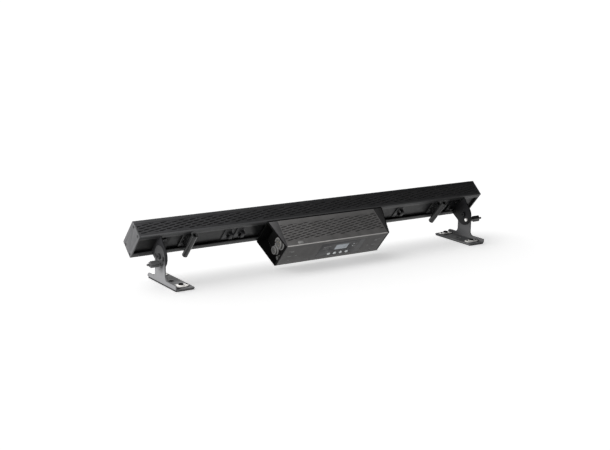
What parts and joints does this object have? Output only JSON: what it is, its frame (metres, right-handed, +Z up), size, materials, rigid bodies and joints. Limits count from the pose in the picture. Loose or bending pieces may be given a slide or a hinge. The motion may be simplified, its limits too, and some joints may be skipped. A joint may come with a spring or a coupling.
{
  "type": "led strip batten",
  "caption": "Long slim stage light bar with a lensed front, a supply box on its back and a tilting bracket foot near each end.",
  "frame": {"origin": "under the middle of the whole object, on the surface that it stands on", "axes": "+X along the batten, +Y the way the lens faces, +Z up"},
  "size_m": [1, 0.1612, 0.1448],
  "materials": {
    "black_paint": "satin black powder coat",
    "foot_paint": "satin black powder coat on steel",
    "panel_film": "satin printed film",
    "clear_plastic": "clear polycarbonate, light frost",
    "lens_plastic": "moulded optic",
    "circuit_board": "solder mask",
    "white_board": "white solder mask",
    "rubber": "matt",
    "black_plastic": "moulded",
    "grey_plastic": "moulded",
    "button_plastic": "moulded",
    "display_glass": "clear pane over a pale display",
    "zinc": "zinc plated",
    "black_zinc": "black zinc"
  },
  "bodies": {
    "batten": {"body_extrusion": "black_paint", "end_cap_left": "black_paint", "end_cap_right": "black_paint", "front_bezel": "black_paint", "front_window": "clear_plastic", "window_gasket": "rubber", "led_board_left": "white_board", "led_board_right": "white_board", "lens_array_left": "lens_plastic", "lens_array_right": "lens_plastic", "psu_housing": "black_paint", "psu_base_plate": "black_paint", "psu_hood_left": "black_paint", "psu_hood_right": "black_paint", "connector_plate_left": "black_paint", "connector_plate_right": "black_paint", "power_inlet": "grey_plastic", "power_outlet": "grey_plastic", "data_socket_in": "grey_plastic", "data_socket_out": "grey_plastic", "fuse_holder": "black_plastic", "control_panel": "panel_film", "display_window": "display_glass", "display_module": "black_plastic", "control_board": "circuit_board", "power_supply_board": "circuit_board", "led_driver_board": "circuit_board", "cross_tube_left": "black_paint", "cross_tube_right": "black_paint", "cable_clip_left_outer": "black_plastic", "cable_clip_left_inner": "black_plastic", "cable_clip_right": "black_plastic"},
    "left_yoke": {"left_yoke_arm": "foot_paint", "left_yoke_screw_upper": "zinc", "left_yoke_screw_lower": "zinc", "left_pivot_bolt": "black_zinc", "left_clamp_stud": "zinc"},
    "left_clamp": {"left_clamp_knob": "black_plastic"},
    "left_foot": {"left_foot_bracket": "foot_paint", "left_foot_pad": "rubber", "left_lock_plate_near": "zinc", "left_lock_plate_far": "zinc"},
    "left_lock_near": {"left_lock_cam_near": "zinc"},
    "left_lock_far": {"left_lock_cam_far": "zinc"},
    "right_yoke": {"right_yoke_arm": "foot_paint", "right_yoke_screw_upper": "zinc", "right_yoke_screw_lower": "zinc", "right_pivot_bolt": "black_zinc", "right_clamp_stud": "zinc"},
    "right_clamp": {"right_clamp_knob": "black_plastic"},
    "right_foot": {"right_foot_bracket": "foot_paint", "right_foot_pad": "rubber", "right_lock_plate_near": "zinc", "right_lock_plate_far": "zinc"},
    "right_lock_near": {"right_lock_cam_near": "zinc"},
    "right_lock_far": {"right_lock_cam_far": "zinc"},
    "button_1": {"menu_button_1": "button_plastic"},
    "button_2": {"menu_button_2": "button_plastic"},
    "button_3": {"menu_button_3": "button_plastic"},
    "button_4": {"menu_button_4": "button_plastic"}
  },
  "joints": [
    {"name": "left_yoke_slide", "type": "slide", "parent": "batten", "child": "left_yoke", "axis": [1, 0, 0], "range_m": [-0.012, 0.025]},
    {"name": "left_foot_tilt", "type": "hinge", "parent": "left_yoke", "child": "left_foot", "pos_m": [-0.4485, -0.00261, 0.0649], "axis": [1, 0, 0], "range_deg": [-138.46, 41.54]},
    {"name": "left_clamp_turn", "type": "hinge", "parent": "left_yoke", "child": "left_clamp", "pos_m": [-0.47, -0.01646, 0.05263], "axis": [1, 0, 0], "range_deg": [-360, 0]},
    {"name": "left_lock_near_turn", "type": "hinge", "parent": "left_foot", "child": "left_lock_near", "pos_m": [-0.426, -0.05861, 0.0085], "axis": [0, 0, 1], "range_deg": [0, 90]},
    {"name": "left_lock_far_turn", "type": "hinge", "parent": "left_foot", "child": "left_lock_far", "pos_m": [-0.426, 0.04639, 0.0085], "axis": [0, 0, 1], "range_deg": [0, 90]},
    {"name": "right_yoke_slide", "type": "slide", "parent": "batten", "child": "right_yoke", "axis": [1, 0, 0], "range_m": [-0.025, 0.012]},
    {"name": "right_foot_tilt", "type": "hinge", "parent": "right_yoke", "child": "right_foot", "pos_m": [0.4485, -0.00261, 0.0649], "axis": [1, 0, 0], "range_deg": [-138.46, 41.54]},
    {"name": "right_clamp_turn", "type": "hinge", "parent": "right_yoke", "child": "right_clamp", "pos_m": [0.47, -0.01646, 0.05263], "axis": [1, 0, 0], "range_deg": [0, 360]},
    {"name": "right_lock_near_turn", "type": "hinge", "parent": "right_foot", "child": "right_lock_near", "pos_m": [0.426, -0.05861, 0.0085], "axis": [0, 0, 1], "range_deg": [0, 90]},
    {"name": "right_lock_far_turn", "type": "hinge", "parent": "right_foot", "child": "right_lock_far", "pos_m": [0.426, 0.04639, 0.0085], "axis": [0, 0, 1], "range_deg": [0, 90]},
    {"name": "button_1_press", "type": "slide", "parent": "batten", "child": "button_1", "axis": [0, 0.7485, 0.6631], "range_m": [0, 0.001], "stiffness_N_per_m": 500},
    {"name": "button_2_press", "type": "slide", "parent": "batten", "child": "button_2", "axis": [0, 0.7485, 0.6631], "range_m": [0, 0.001], "stiffness_N_per_m": 500},
    {"name": "button_3_press", "type": "slide", "parent": "batten", "child": "button_3", "axis": [0, 0.7485, 0.6631], "range_m": [0, 0.001], "stiffness_N_per_m": 500},
    {"name": "button_4_press", "type": "slide", "parent": "batten", "child": "button_4", "axis": [0, 0.7485, 0.6631], "range_m": [0, 0.001], "stiffness_N_per_m": 500}
  ]
}
